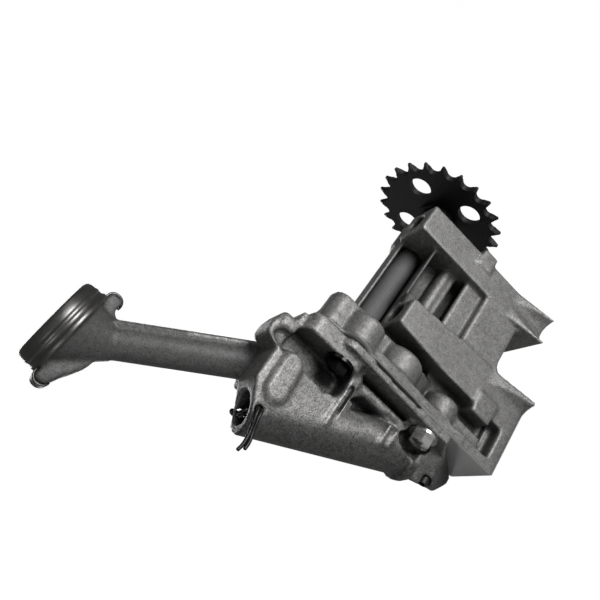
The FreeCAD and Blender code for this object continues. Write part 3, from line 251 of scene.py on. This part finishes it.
def cast_metal(name, colour, dark, rough, contrast, machined, side_shaded=None, oil_and_painted_shade=None,
               oil_colour=None):
    """Cast aluminium: patches between colour and dark times the skin's tint, lighter on edges
    by pointiness, with painted shade: darker in creases by pointiness and in hollows, by how much
    a point's surroundings hide it. machined lists (axis, place, half width) of faces milled
    bright and smooth. stained holds painted_side_shade's values, a painted shade on one side, and
    oiled oil_zone's; there the oil's colour shows."""
    hollow_reach, milled = 0.016, (0.60, 0.60, 0.595, 1)
    bare_metallic, oiled_metallic, milled_gloss, oil_power = 0.6, 0.15, 0.2, 0.7
    material = bpy.data.materials.new(name)
    tree, shader = node_tree(material)
    place = add(tree, "ShaderNodeTexCoord").outputs["Object"]
    skin = add(tree, "ShaderNodeGroup", node_tree=skin_group)
    skin.inputs["Contrast"].default_value = contrast
    tree.links.new(place, skin.inputs["Vector"])
    patches = ramp(tree, skin.outputs["Patch"], start=0.30, end=0.62)
    base = blend(tree, patches, (*dark, 1), (*colour, 1))
    form = add(tree, "ShaderNodeNewGeometry")
    # Painted shade: the colour darkens in creases by pointiness and in hollows by ambient
    # occlusion.
    lighter_edge_and_painted_crease_shade = ramp(tree, form.outputs["Pointiness"], start=0.44, end=0.56, low=0.62, high=1.28)
    hollow = add(tree, "ShaderNodeAmbientOcclusion", {"Distance": hollow_reach}, samples=8)
    painted_hollow_shade = ramp(tree, hollow.outputs["AO"], start=0.25, end=0.80, low=0.38, high=1.0)
    edges_and_painted_shade = maths(tree, "MULTIPLY", lighter_edge_and_painted_crease_shade, painted_hollow_shade)
    if side_shaded:
        edges_and_painted_shade = maths(tree, "MULTIPLY", edges_and_painted_shade, painted_side_shade(tree, place, **side_shaded))
    shade = maths(tree, "MULTIPLY", edges_and_painted_shade, skin.outputs["Tint"])
    surface = vector_maths(tree, "SCALE", {0: base, "Scale": shade})
    metallic = bare_metallic
    if oil_and_painted_shade:
        zone = oil_zone(tree, place, **oil_and_painted_shade)
        soft = maths(tree, "POWER", shade, oil_power)
        oil = vector_maths(tree, "SCALE", {0: oil_colour, "Scale": soft})
        surface = blend(tree, zone, surface, oil)
        metallic = ramp(tree, zone, low=bare_metallic, high=oiled_metallic)
    split = add(tree, "ShaderNodeSeparateXYZ", {0: place})
    masks = [maths(tree, "COMPARE", split.outputs[axis], where, half_width)
             for axis, where, half_width in machined]
    mask = masks[0]
    for other in masks[1:]:
        mask = maths(tree, "MAXIMUM", mask, other)
    surface = blend(tree, mask, surface, milled)
    gloss = ramp(tree, mask, low=rough, high=rough - milled_gloss)
    quiet = maths(tree, "SUBTRACT", 1.0, mask)
    height = maths(tree, "MULTIPLY", skin.outputs["Height"], quiet)
    bump = add(tree, "ShaderNodeBump", {"Strength": 0.5, "Distance": 0.0003, "Height": height})
    tree.links.new(surface, shader.inputs["Base Color"])
    tree.links.new(gloss, shader.inputs["Roughness"])
    tree.links.new(bump.outputs[0], shader.inputs["Normal"])
    if oil_and_painted_shade:
        tree.links.new(metallic, shader.inputs["Metallic"])
    else:
        shader.inputs["Metallic"].default_value = metallic
    return material


def rounded_casting(node, name, voxel, rounds):
    """A cast form from its CAD node: the merged mesh rebuilt on a voxel grid, then smoothed,
    so that p moves to the mean of its neighbours by a half, a few rounds; edges turn round."""
    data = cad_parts[node].data.copy()
    data.name = name
    data.materials.clear()
    piece = bpy.data.objects.new(name, data)
    scene.collection.objects.link(piece)
    weld = piece.modifiers.new("weld", "WELD")
    weld.merge_threshold = 1e-6
    remesh = piece.modifiers.new("remesh", "REMESH")
    remesh.mode = "VOXEL"
    remesh.voxel_size = voxel
    remesh.use_smooth_shade = True
    smooth = piece.modifiers.new("smooth", "SMOOTH")
    smooth.factor = 0.5
    smooth.iterations = rounds
    graph = bpy.context.evaluated_depsgraph_get()
    done = bpy.data.meshes.new_from_object(piece.evaluated_get(graph))
    piece.modifiers.clear()
    piece.data = done
    done.name = name
    done.polygons.foreach_set("use_smooth", np.ones(len(done.polygons), bool))
    return piece


def wear(piece, material):
    """The piece shows this material in all its slots."""
    piece.data.materials.clear()
    piece.data.materials.append(material)


foot_z, joint_y = 0.0, -0.029
body_metal = cast_metal(
    "cast_body", colour=(0.262, 0.26, 0.254), dark=(0.225, 0.222, 0.219), rough=0.50,
    contrast=0.60, machined=(("Z", foot_z, 0.0006), ("Y", joint_y, 0.0005)),
)
body_casting = rounded_casting("pump_body", "body_casting", voxel=0.00075, rounds=3)
wear(body_casting, body_metal)
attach(body_casting, "pump")
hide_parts("pump_body")

# Pump cover
# The second casting closes the gear case and carries the relief valve and the suction tube.
# It has the same blasted skin, with more grain, and four screws hold it to the body.
# The tube hangs in the sump and is dark with oil; on one side of the valve's axis the cover is
# darker, a painted shade.
cover_metal = cast_metal(
    "cast_cover", colour=(0.275, 0.272, 0.266), dark=(0.225, 0.222, 0.219), rough=0.48,
    contrast=0.85, machined=(("Y", joint_y, 0.0004),),
    # Painted shade: the cover darkens to 0.45 on one side of a plane through the valve's axis.
    side_shaded={"direction": (0.0, 0.894934, 0.446198), "low": -0.0255, "high": -0.0195,
             "share": 0.45},
    oil_and_painted_shade={"point": (-0.018, -0.050, 0.0965), "direction": (-0.2246, -0.5091, 0.8310),
           "reach": 0.0077, "length": 0.026},
    oil_colour=(0.106, 0.106, 0.104),
)
cover_casting = rounded_casting("pump_cover", "cover_casting", voxel=0.00080, rounds=3)


def round_ears(piece, centre_y, reach, low_z, high_z, round_r):
    """The two ears' ends made half round: with a = |y - centre_y|, a point beyond the corner
    circle's centre (reach - round_r) and above or below it moves onto that circle."""
    below, ear_x, tiny = 0.002, -0.02, 1e-6
    data = piece.data
    points = np.empty(len(data.vertices) * 3)
    data.vertices.foreach_get("co", points)
    points = points.reshape(-1, 3)
    outward = np.abs(points[:, 1] - centre_y)
    side = np.sign(points[:, 1] - centre_y)
    middle_z = np.clip(points[:, 2], low_z + round_r, high_z - round_r)
    past = outward - (reach - round_r)
    rise = points[:, 2] - middle_z
    r = np.hypot(past, rise)
    ear = (past > 0) & (points[:, 2] > low_z - below) & (points[:, 0] < ear_x)
    factor = np.where(ear & (r > round_r), round_r / np.maximum(r, tiny), 1.0)
    moved = reach - round_r + past * factor
    points[:, 1] = np.where(ear, centre_y + side * moved, points[:, 1])
    points[:, 2] = np.where(ear, middle_z + rise * factor, points[:, 2])
    data.vertices.foreach_set("co", points.ravel())
    data.update()


round_ears(cover_casting, centre_y=-0.085, reach=0.0213, low_z=0.1495, high_z=0.1550,
           round_r=0.0026)
wear(cover_casting, cover_metal)
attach(cover_casting, "pump")
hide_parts("pump_cover")


# Chain sprocket
# A plate stamped from steel and case-hardened, with a black oxide skin, pressed on its hub.
# Its teeth are bevelled on both faces, and oil keeps it satin with a soft shine on the edges.
def steel(name, colour, rough, metallic, scale, contrast, stretch=(1.0, 1.0, 1.0), bump_by=0.0):
    """Steel: the colour times 1 + contrast (2 noise - 1), roughness from the same noise;
    stretch pulls the noise along an axis for grinding or drawing marks."""
    rough_spread, least_rough = 0.08, 0.02
    material = bpy.data.materials.new(name)
    tree, shader = node_tree(material)
    place = add(tree, "ShaderNodeTexCoord").outputs["Object"]
    pull = add(tree, "ShaderNodeMapping", {"Vector": place, "Scale": stretch})
    noise = add(tree, "ShaderNodeTexNoise", {
        "Vector": pull.outputs[0], "Scale": scale, "Detail": 4.0}).outputs["Fac"]
    low = np.array(colour) * (1 - contrast)
    high = np.minimum(np.array(colour) * (1 + contrast), 1)
    tree.links.new(blend(tree, noise, (*low, 1), (*high, 1)), shader.inputs["Base Color"])
    gloss = ramp(tree, noise, low=max(rough - rough_spread, least_rough),
                 high=rough + rough_spread)
    tree.links.new(gloss, shader.inputs["Roughness"])
    if bump_by:
        bump = add(tree, "ShaderNodeBump", {
            "Strength": bump_by, "Distance": 0.0001, "Height": noise})
        tree.links.new(bump.outputs[0], shader.inputs["Normal"])
    shader.inputs["Metallic"].default_value = metallic
    return material


def chamfered_teeth(node, name, middle_y, land, clip_r, centre_x, centre_z):
    """The sprocket's plate, cut twice round its rim beside the tooth land; every point of the
    two faces whose radius r is beyond clip_r moves in to clip_r, so each tooth is a wedge."""
    weld, off_land, tiny = 1e-6, 1e-5, 1e-6
    cut = bmesh.new()
    cut.from_mesh(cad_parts[node].data)
    bmesh.ops.remove_doubles(cut, verts=cut.verts[:], dist=weld)
    for place in (middle_y - land / 2, middle_y + land / 2):
        bmesh.ops.bisect_plane(cut, geom=cut.verts[:] + cut.edges[:] + cut.faces[:],
                               plane_co=(0, place, 0), plane_no=(0, 1, 0))
    data = bpy.data.meshes.new(name)
    cut.to_mesh(data)
    cut.free()
    points = np.empty(len(data.vertices) * 3)
    data.vertices.foreach_get("co", points)
    points = points.reshape(-1, 3)
    from_axis = points[:, [0, 2]] - (centre_x, centre_z)
    r = np.linalg.norm(from_axis, axis=1)
    on_face = np.abs(points[:, 1] - middle_y) > land / 2 + off_land
    factor = np.where(on_face & (r > clip_r), clip_r / np.maximum(r, tiny), 1.0)
    points[:, [0, 2]] = (centre_x, centre_z) + from_axis * factor[:, None]
    data.vertices.foreach_set("co", points.ravel())
    data.update()
    piece = bpy.data.objects.new(name, data)
    scene.collection.objects.link(piece)
    return piece


black_oxide = steel("black_oxide", (0.005, 0.005, 0.0056), rough=0.50, metallic=0.0,
                    scale=900.0, contrast=0.35, bump_by=0.1)
sprocket = chamfered_teeth("drive_sprocket", "toothed_sprocket", middle_y=0.0626, land=0.0009,
                           clip_r=0.0284, centre_x=-0.012, centre_z=0.073)
wear(sprocket, black_oxide)
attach(sprocket, "drive_train")
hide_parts("drive_sprocket")

# Sprocket hub
# Steel turned on a lathe and pressed on the shaft's end.
# It is blacked with the sprocket, so it has the same oiled oxide skin.
wear(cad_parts["sprocket_hub"], black_oxide)

# Drive shaft
# Plain steel bar with chamfered ends, pressed into the hub and the drive gear.
# It is grey and dull where it lies in the open trough.
shaft_steel = steel("shaft_steel", (0.15, 0.15, 0.15), rough=0.68, metallic=0.15,
                    scale=1500.0, contrast=0.40, bump_by=0.5)
wear(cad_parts["drive_shaft"], shaft_steel)

# Idler pin
# Hardened steel, ground round, pressed into the body and the cover.
# It carries the driven gear and is hidden in the gear case.
ground_steel = steel("ground_steel", (0.19, 0.187, 0.18), rough=0.34, metallic=0.8,
                     scale=700.0, contrast=0.12, stretch=(1.0, 0.15, 1.0))
wear(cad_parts["idler_pin"], ground_steel)

# Cover dowels
# Two ground steel dowels between the body and the cover.
# They are pressed in and set the cover true to the gear case.
wear(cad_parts["cover_dowels"], ground_steel)

# Relief piston
# A hollow piston of ground steel, closed towards the oil side, that slides in the valve's bore.
# The spring stands in it, and the cover hides it.
wear(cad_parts["relief_piston"], ground_steel)

# Drive gear
# Sintered steel with ten teeth, pressed on the shaft.
# It is matt and oily, and hidden in the gear case.
sinter = steel("sintered_steel", (0.125, 0.125, 0.125), rough=0.5, metallic=0.7,
               scale=1800.0, contrast=0.3, bump_by=0.15)
wear(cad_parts["drive_gear"], sinter)

# Driven gear
# Sintered like the drive gear that turns it, with ten teeth.
# It runs on the idler pin with a bush between them.
wear(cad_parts["driven_gear"], sinter)

# Driven gear's bush
# Turned bronze, pressed into the driven gear.
# It runs on the idler pin and is brown with oil.
bronze = steel("bronze", (0.10, 0.078, 0.055), rough=0.45, metallic=0.8,
               scale=500.0, contrast=0.20, stretch=(1.0, 0.2, 1.0))
wear(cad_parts["driven_gear_bush"], bronze)

# Front shaft bush
# The same bronze, pressed into the front column.
# The shaft runs in it next to the sprocket.
wear(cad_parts["front_shaft_bush"], bronze)

# Rear shaft bush
# The same bronze, pressed in behind the gears.
# The shaft's far end runs in it.
wear(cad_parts["rear_shaft_bush"], bronze)


# Cover screws
# Four M6 hexagon screws with a flange, cold-headed steel with bright zinc.
# They hold the cover to the body; the lower one catches the light in its pocket, and the upper
# ones in the recess get a near-black colour as painted shade.
def zinc_with_painted_shade(name, bright, oil_and_painted_shade, border_z):
    """Bright zinc below border_z; above it, where the screws sit in the recess, a near-black
    colour is painted as shade.
    """
    material = steel(name, bright, rough=0.24, metallic=0.95, scale=600.0, contrast=0.06)
    tree = material.node_tree
    shader = next(n for n in tree.nodes if n.type == "BSDF_PRINCIPLED")
    clean = shader.inputs["Base Color"].links[0].from_socket
    place = add(tree, "ShaderNodeTexCoord").outputs["Object"]
    height = add(tree, "ShaderNodeSeparateXYZ", {0: place}).outputs["Z"]
    above = maths(tree, "GREATER_THAN", height, border_z)
    tree.links.new(blend(tree, above, clean, (*oil_and_painted_shade, 1)), shader.inputs["Base Color"])
    return material


# The upper screws' near-black colour is painted shade.
zinc = zinc_with_painted_shade("bright_zinc", bright=(0.92, 0.915, 0.90), oil_and_painted_shade=(0.022, 0.022, 0.0215),
                     border_z=0.060)
wear(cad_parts["cover_screws"], zinc)


# Relief spring
# A compression spring wound from drawn spring wire, oiled dark.
# It stands between the seat and the piston.
def wire(path, radii, across, sides=16, closed=False):
    """A round wire p(t) + r(t) (cos a * s + sin a * n): s stands square to the path and to
    across, n square to both; an open wire ends in a cap, a closed one joins its start."""
    step = np.roll(path, -1, 0) - np.roll(path, 1, 0) if closed else np.gradient(path, axis=0)
    step /= np.linalg.norm(step, axis=1)[:, None]
    s = np.cross(step, np.array(across, float))
    s /= np.linalg.norm(s, axis=1)[:, None]
    n = np.cross(s, step)
    a = np.linspace(0, 2 * math.pi, sides, endpoint=False)[None, :, None]
    radii = np.broadcast_to(radii, len(path))[:, None, None]
    points = path[:, None, :] + radii * (np.cos(a) * s[:, None, :] + np.sin(a) * n[:, None, :])
    rows = len(path)
    row = np.arange(rows if closed else rows - 1)[:, None]
    column = np.arange(sides)[None, :]
    beside, above = (column + 1) % sides, (row + 1) % rows
    quads = np.stack([row * sides + column, row * sides + beside,
                      above * sides + beside, above * sides + column], -1).reshape(-1, 4).tolist()
    if not closed:
        quads.append(list(range(sides))[::-1])
        quads.append(list(range((rows - 1) * sides, rows * sides)))
    return points.reshape(-1, 3), quads


def shell(name, parts):
    """One object from several closed surfaces, each with its faces turned outwards."""
    points, faces, first = [], [], 0
    for some_points, some_faces in parts:
        points.append(some_points)
        faces += [[i + first for i in face] for face in some_faces]
        first += len(some_points)
    data = bpy.data.meshes.new(name)
    data.from_pydata(np.vstack(points).tolist(), [], faces)
    outwards = bmesh.new()
    outwards.from_mesh(data)
    bmesh.ops.recalc_face_normals(outwards, faces=outwards.faces[:])
    outwards.to_mesh(data)
    outwards.free()
    data.polygons.foreach_set("use_smooth", np.ones(len(data.polygons), bool))
    piece = bpy.data.objects.new(name, data)
    scene.collection.objects.link(piece)
    return piece


def helix(mouth, axis, start, length, radius, turns):
    """The coil's middle line mouth + axis (start + length t) + radius (cos a * x + sin a * u)
    for t from 0 to 1, where a is 2 pi turns t and u stands square to the axis and to x."""
    points_in_turn = 32
    t = np.linspace(0, 1, turns * points_in_turn + 1)[:, None]
    a = 2 * math.pi * turns * t
    x = np.array((1.0, 0.0, 0.0))
    u = np.cross(axis, x)
    return mouth + axis * (start + length * t) + radius * (np.cos(a) * x + np.sin(a) * u)


wire_steel = steel("spring_wire", (0.031, 0.031, 0.031), rough=0.38, metallic=0.8,
                   scale=900.0, contrast=0.3)
valve_down = np.array((0.0, 0.446198, -0.894934))
valve_mouth = np.array((-0.004, -0.0725, 0.095))
coil_line = helix(valve_mouth, valve_down, start=0.0071, length=0.0459, radius=0.0041, turns=8)
relief_coil = shell("relief_coil", [wire(coil_line, 0.0008, valve_down, sides=12)])
wear(relief_coil, wire_steel)
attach(relief_coil, "pump")
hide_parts("relief_spring")
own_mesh(relief_coil)


# Split pin
# Steel wire folded to an eye with two legs, pushed through the valve's mouth at the seat.
# Its two legs are bent back on the outside and stand apart at their ends.
def eased(points, rounds):
    """A path with its corners cut: each run keeps the points at a quarter and three quarters,
    a few rounds, and the two ends stay."""
    path = np.array(points, float)
    for _ in range(rounds):
        cut = np.stack([0.75 * path[:-1] + 0.25 * path[1:],
                        0.25 * path[:-1] + 0.75 * path[1:]], 1)
        path = np.vstack([path[:1], cut.reshape(-1, 3), path[-1:]])
    return path


def pin_leg(k, head_x, tip_x, pin_y, pin_z, r):
    """One leg, k = -1 or 1: a wire along an eased path through eight corners, straight in the
    valve and bent back beyond it, whose radius tapers over the last six steps to 0.45."""
    gap = k * r * 1.02
    leg = eased([
        (head_x + 0.0042, pin_y, pin_z + gap),
        (-0.004, pin_y, pin_z + gap),
        (0.0056, pin_y, pin_z + gap),
        (tip_x - 0.0014, pin_y - 0.0004, pin_z + gap),
        (tip_x - 0.0009, pin_y - 0.0034, pin_z + gap * 0.9 - 0.0004),
        (tip_x - 0.0016, pin_y - 0.0085, pin_z + gap * 0.6 - 0.0022),
        (tip_x - 0.0012, pin_y - 0.0125 - 0.001 * k, pin_z + gap * 0.9 - 0.0030),
        (tip_x - 0.0009, pin_y - 0.0158 - 0.0009 * k, pin_z + gap * 1.3 - 0.0026),
    ], 4)
    taper = np.clip((len(leg) - 1 - np.arange(len(leg))) / 6.0, 0.45, 1.0)
    return wire(leg, r * taper, (0, 0, 1))


def pin_eye(head_x, pin_y, pin_z, r, eye_r):
    """The eye: a wire whose middle line is a circle of eye_r in x and z."""
    steps = 48
    a = np.linspace(0, 2 * math.pi, steps, endpoint=False)
    centre_x = head_x + r + eye_r
    circle = np.stack([centre_x + eye_r * np.cos(a), np.full(steps, pin_y),
                       pin_z + eye_r * np.sin(a)], 1)
    return wire(circle, r, (0, 1, 0), closed=True)


pin_low, pin_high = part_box("split_pin")
pin_y, pin_z, pin_r, eye_r = -0.0721, 0.09196, 0.00072, 0.0024
pin_parts = [pin_leg(k, pin_low[0], pin_high[0], pin_y, pin_z, pin_r) for k in (-1, 1)]
pin_parts.append(pin_eye(pin_low[0], pin_y, pin_z, pin_r, eye_r))
split_wire = shell("split_wire", pin_parts)
wear(split_wire, wire_steel)
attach(split_wire, "pump")
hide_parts("split_pin")

# Roll pin
# A slotted pin rolled from spring steel and blacked.
# It is pressed into the cover's lower end.
wear(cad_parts["roll_pin"], black_oxide)

# Spring seat
# A small cup pressed from sheet steel, satin.
# It closes the valve's mouth and rests against the split pin.
pressed = steel("pressed_steel", (0.163, 0.161, 0.156), rough=0.34, metallic=0.9,
                scale=250.0, contrast=0.15)
wear(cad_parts["spring_seat"], pressed)

# Strainer cup
# Sheet steel pressed to a cup with a wide mouth, a rolled rim and a crimp bead, satin.
# Two tabs are bent over the cover's ears and hold it there.
cup_x, cup_y, cup_z = -0.0335, -0.085, 0.158
cup_r, sheet, cup_h, mouth_r, disc_t = 0.018, 0.001, 0.00636, 0.014, 0.003


def turned(profile, x, y, z, sides):
    """The closed profile of (r, h) pairs turned round the upright axis through x, y, z."""
    r, h = np.array(profile, float).T
    a = np.linspace(0, 2 * math.pi, sides, endpoint=False)
    points = np.stack([
        x + r[:, None] * np.cos(a), y + r[:, None] * np.sin(a),
        np.broadcast_to(z + h[:, None], (len(r), sides)),
    ], -1)
    row, column = np.arange(len(r))[:, None], np.arange(sides)[None, :]
    beside, above = (column + 1) % sides, (row + 1) % len(r)
    quads = np.stack([row * sides + column, row * sides + beside,
                      above * sides + beside, above * sides + column], -1)
    return points.reshape(-1, 3), quads.reshape(-1, 4).tolist()


def ring_eased(points, rounds):
    """A closed profile with its corners cut at a quarter of each run, a few rounds."""
    path = np.array(points, float)
    for _ in range(rounds):
        after = np.roll(path, -1, 0)
        path = np.stack([0.75 * path + 0.25 * after, 0.25 * path + 0.75 * after], 1)
        path = path.reshape(-1, 2)
    return path


gap = 0.00002
under = gap - disc_t
cup_profile = ring_eased([
    (cup_r - sheet + gap, under), (cup_r + 0.0003, under), (cup_r + 0.0007, under + 0.0004),
    (cup_r + 0.0007, under + 0.0018), (cup_r + 0.0001, under + 0.0024), (cup_r, under + 0.0036),
    (cup_r + 0.0003, under + 0.0041), (cup_r + 0.0003, under + 0.0050), (cup_r, under + 0.0055),
    (cup_r, cup_h - 0.0030), (cup_r - 0.0004, cup_h - 0.0010), (cup_r - 0.0014, cup_h),
    (mouth_r, cup_h), (mouth_r, cup_h - sheet), (cup_r - sheet - 0.0018, cup_h - sheet - 0.0004),
    (cup_r - sheet + gap, cup_h - 0.0030), (cup_r - sheet + gap, 0.0004),
], 2)


def strap(side, half_w, reach, round_r, foot_z, thick, rows=40, columns=13):
    """A tab bent over an ear: the path runs outwards over the ear, round its end on a circle
    and back under it; across it the width narrows with sqrt(1 - (0.97 v)^6) to a blunt tongue,
    and the outer surface stands the sheet's thickness off the inner one."""
    straight_rows = 8
    top = cup_z + under
    centre_a, centre_z = reach - round_r, top - round_r
    angle = np.linspace(math.pi / 2, -math.pi / 2, rows - straight_rows)
    low_z = foot_z + round_r
    arc_a = centre_a + round_r * np.cos(angle)
    arc_z = np.where(angle > 0, centre_z, low_z) + round_r * np.sin(angle)
    run = np.linspace(cup_r - 0.0015, centre_a, straight_rows, endpoint=False)
    path = np.stack([np.concatenate([run, arc_a]),
                     np.concatenate([np.full(straight_rows, top), arc_z])], 1)
    step = np.gradient(path, axis=0)
    step /= np.linalg.norm(step, axis=1)[:, None]
    off = np.stack([-step[:, 1], step[:, 0]], 1)
    v = np.linspace(0, 1, rows)
    width = half_w * np.sqrt(np.clip(1 - (v * 0.97) ** 6, 0.05, 1))
    u = np.linspace(-1, 1, columns)
    layers = []
    for stand in (gap, thick):
        rim = path + off * stand
        x = cup_x + width[:, None] * u[None, :]
        layers.append(np.stack([
            x, np.broadcast_to((cup_y + side * rim[:, 0])[:, None], x.shape),
            np.broadcast_to(rim[:, 1][:, None], x.shape),
        ], -1).reshape(-1, 3))
    row, column = np.arange(rows - 1)[:, None], np.arange(columns - 1)[None, :]
    cell = row * columns + column
    sheet_faces = np.stack([cell, cell + 1, cell + columns + 1, cell + columns], -1)
    sheet_faces = sheet_faces.reshape(-1, 4)
    count = rows * columns
    faces = sheet_faces.tolist() + (sheet_faces[:, ::-1] + count).tolist()
    border = np.concatenate([
        np.arange(columns), np.arange(1, rows) * columns + columns - 1,
        (rows - 1) * columns + np.arange(columns - 2, -1, -1),
        np.arange(rows - 2, 0, -1) * columns,
    ])
    after = np.roll(border, -1)
    faces += np.stack([border, after, after + count, border + count], -1).tolist()
    return np.vstack(layers), faces


cup_parts = [turned(cup_profile, cup_x, cup_y, cup_z, sides=144)]
for side in (-1, 1):
    cup_parts.append(strap(side, half_w=0.0034, reach=0.0214, round_r=0.0026, foot_z=0.1494,
                           thick=0.0009))
pressed_cup = shell("pressed_cup", cup_parts)
wear(pressed_cup, pressed)
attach(pressed_cup, "pump")
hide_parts("strainer_cup")


# Strainer gauze
# Woven steel wire, cut to a disc and clamped inside the cup's mouth.
# Each wire waves over and under the wires that cross it.
def woven_disc(x, y, z, disc_r, pitch, r):
    """Round wires k = -n to n: one along x at y + k pitch, with z + r cos(pi (run / pitch + k)),
    and one along y at x + k pitch with the opposite wave; both end on the disc's circle."""
    points_in_pitch, least_points = 6, 8
    count = int(disc_r / pitch)
    parts = []
    for k in range(-count, count + 1):
        offset = k * pitch
        half = math.sqrt(max(disc_r ** 2 - offset ** 2, 0)) - r
        if half < pitch:
            continue
        run = np.linspace(-half, half, max(int(half / pitch * points_in_pitch), least_points))
        wave = r * np.cos(math.pi * (run / pitch + k))
        flat = np.full(len(run), offset)
        along_x = np.stack([x + run, y + flat, z + wave], 1)
        along_y = np.stack([x + flat, y + run, z - wave], 1)
        parts.append(wire(along_x, r, (0, 1, 0), sides=6))
        parts.append(wire(along_y, r, (1, 0, 0), sides=6))
    return parts


gauze_wire = steel("gauze_wire", (0.14, 0.14, 0.137), rough=0.35, metallic=0.9,
                   scale=800.0, contrast=0.15)
mesh_low, mesh_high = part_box("strainer_mesh")
gauze = shell("woven_gauze", woven_disc(
    cup_x, cup_y, (mesh_low[2] + mesh_high[2]) / 2, disc_r=(mesh_high[0] - mesh_low[0]) / 2,
    pitch=0.00092, r=0.00014,
))
wear(gauze, gauze_wire)
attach(gauze, "pump")
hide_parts("strainer_mesh")
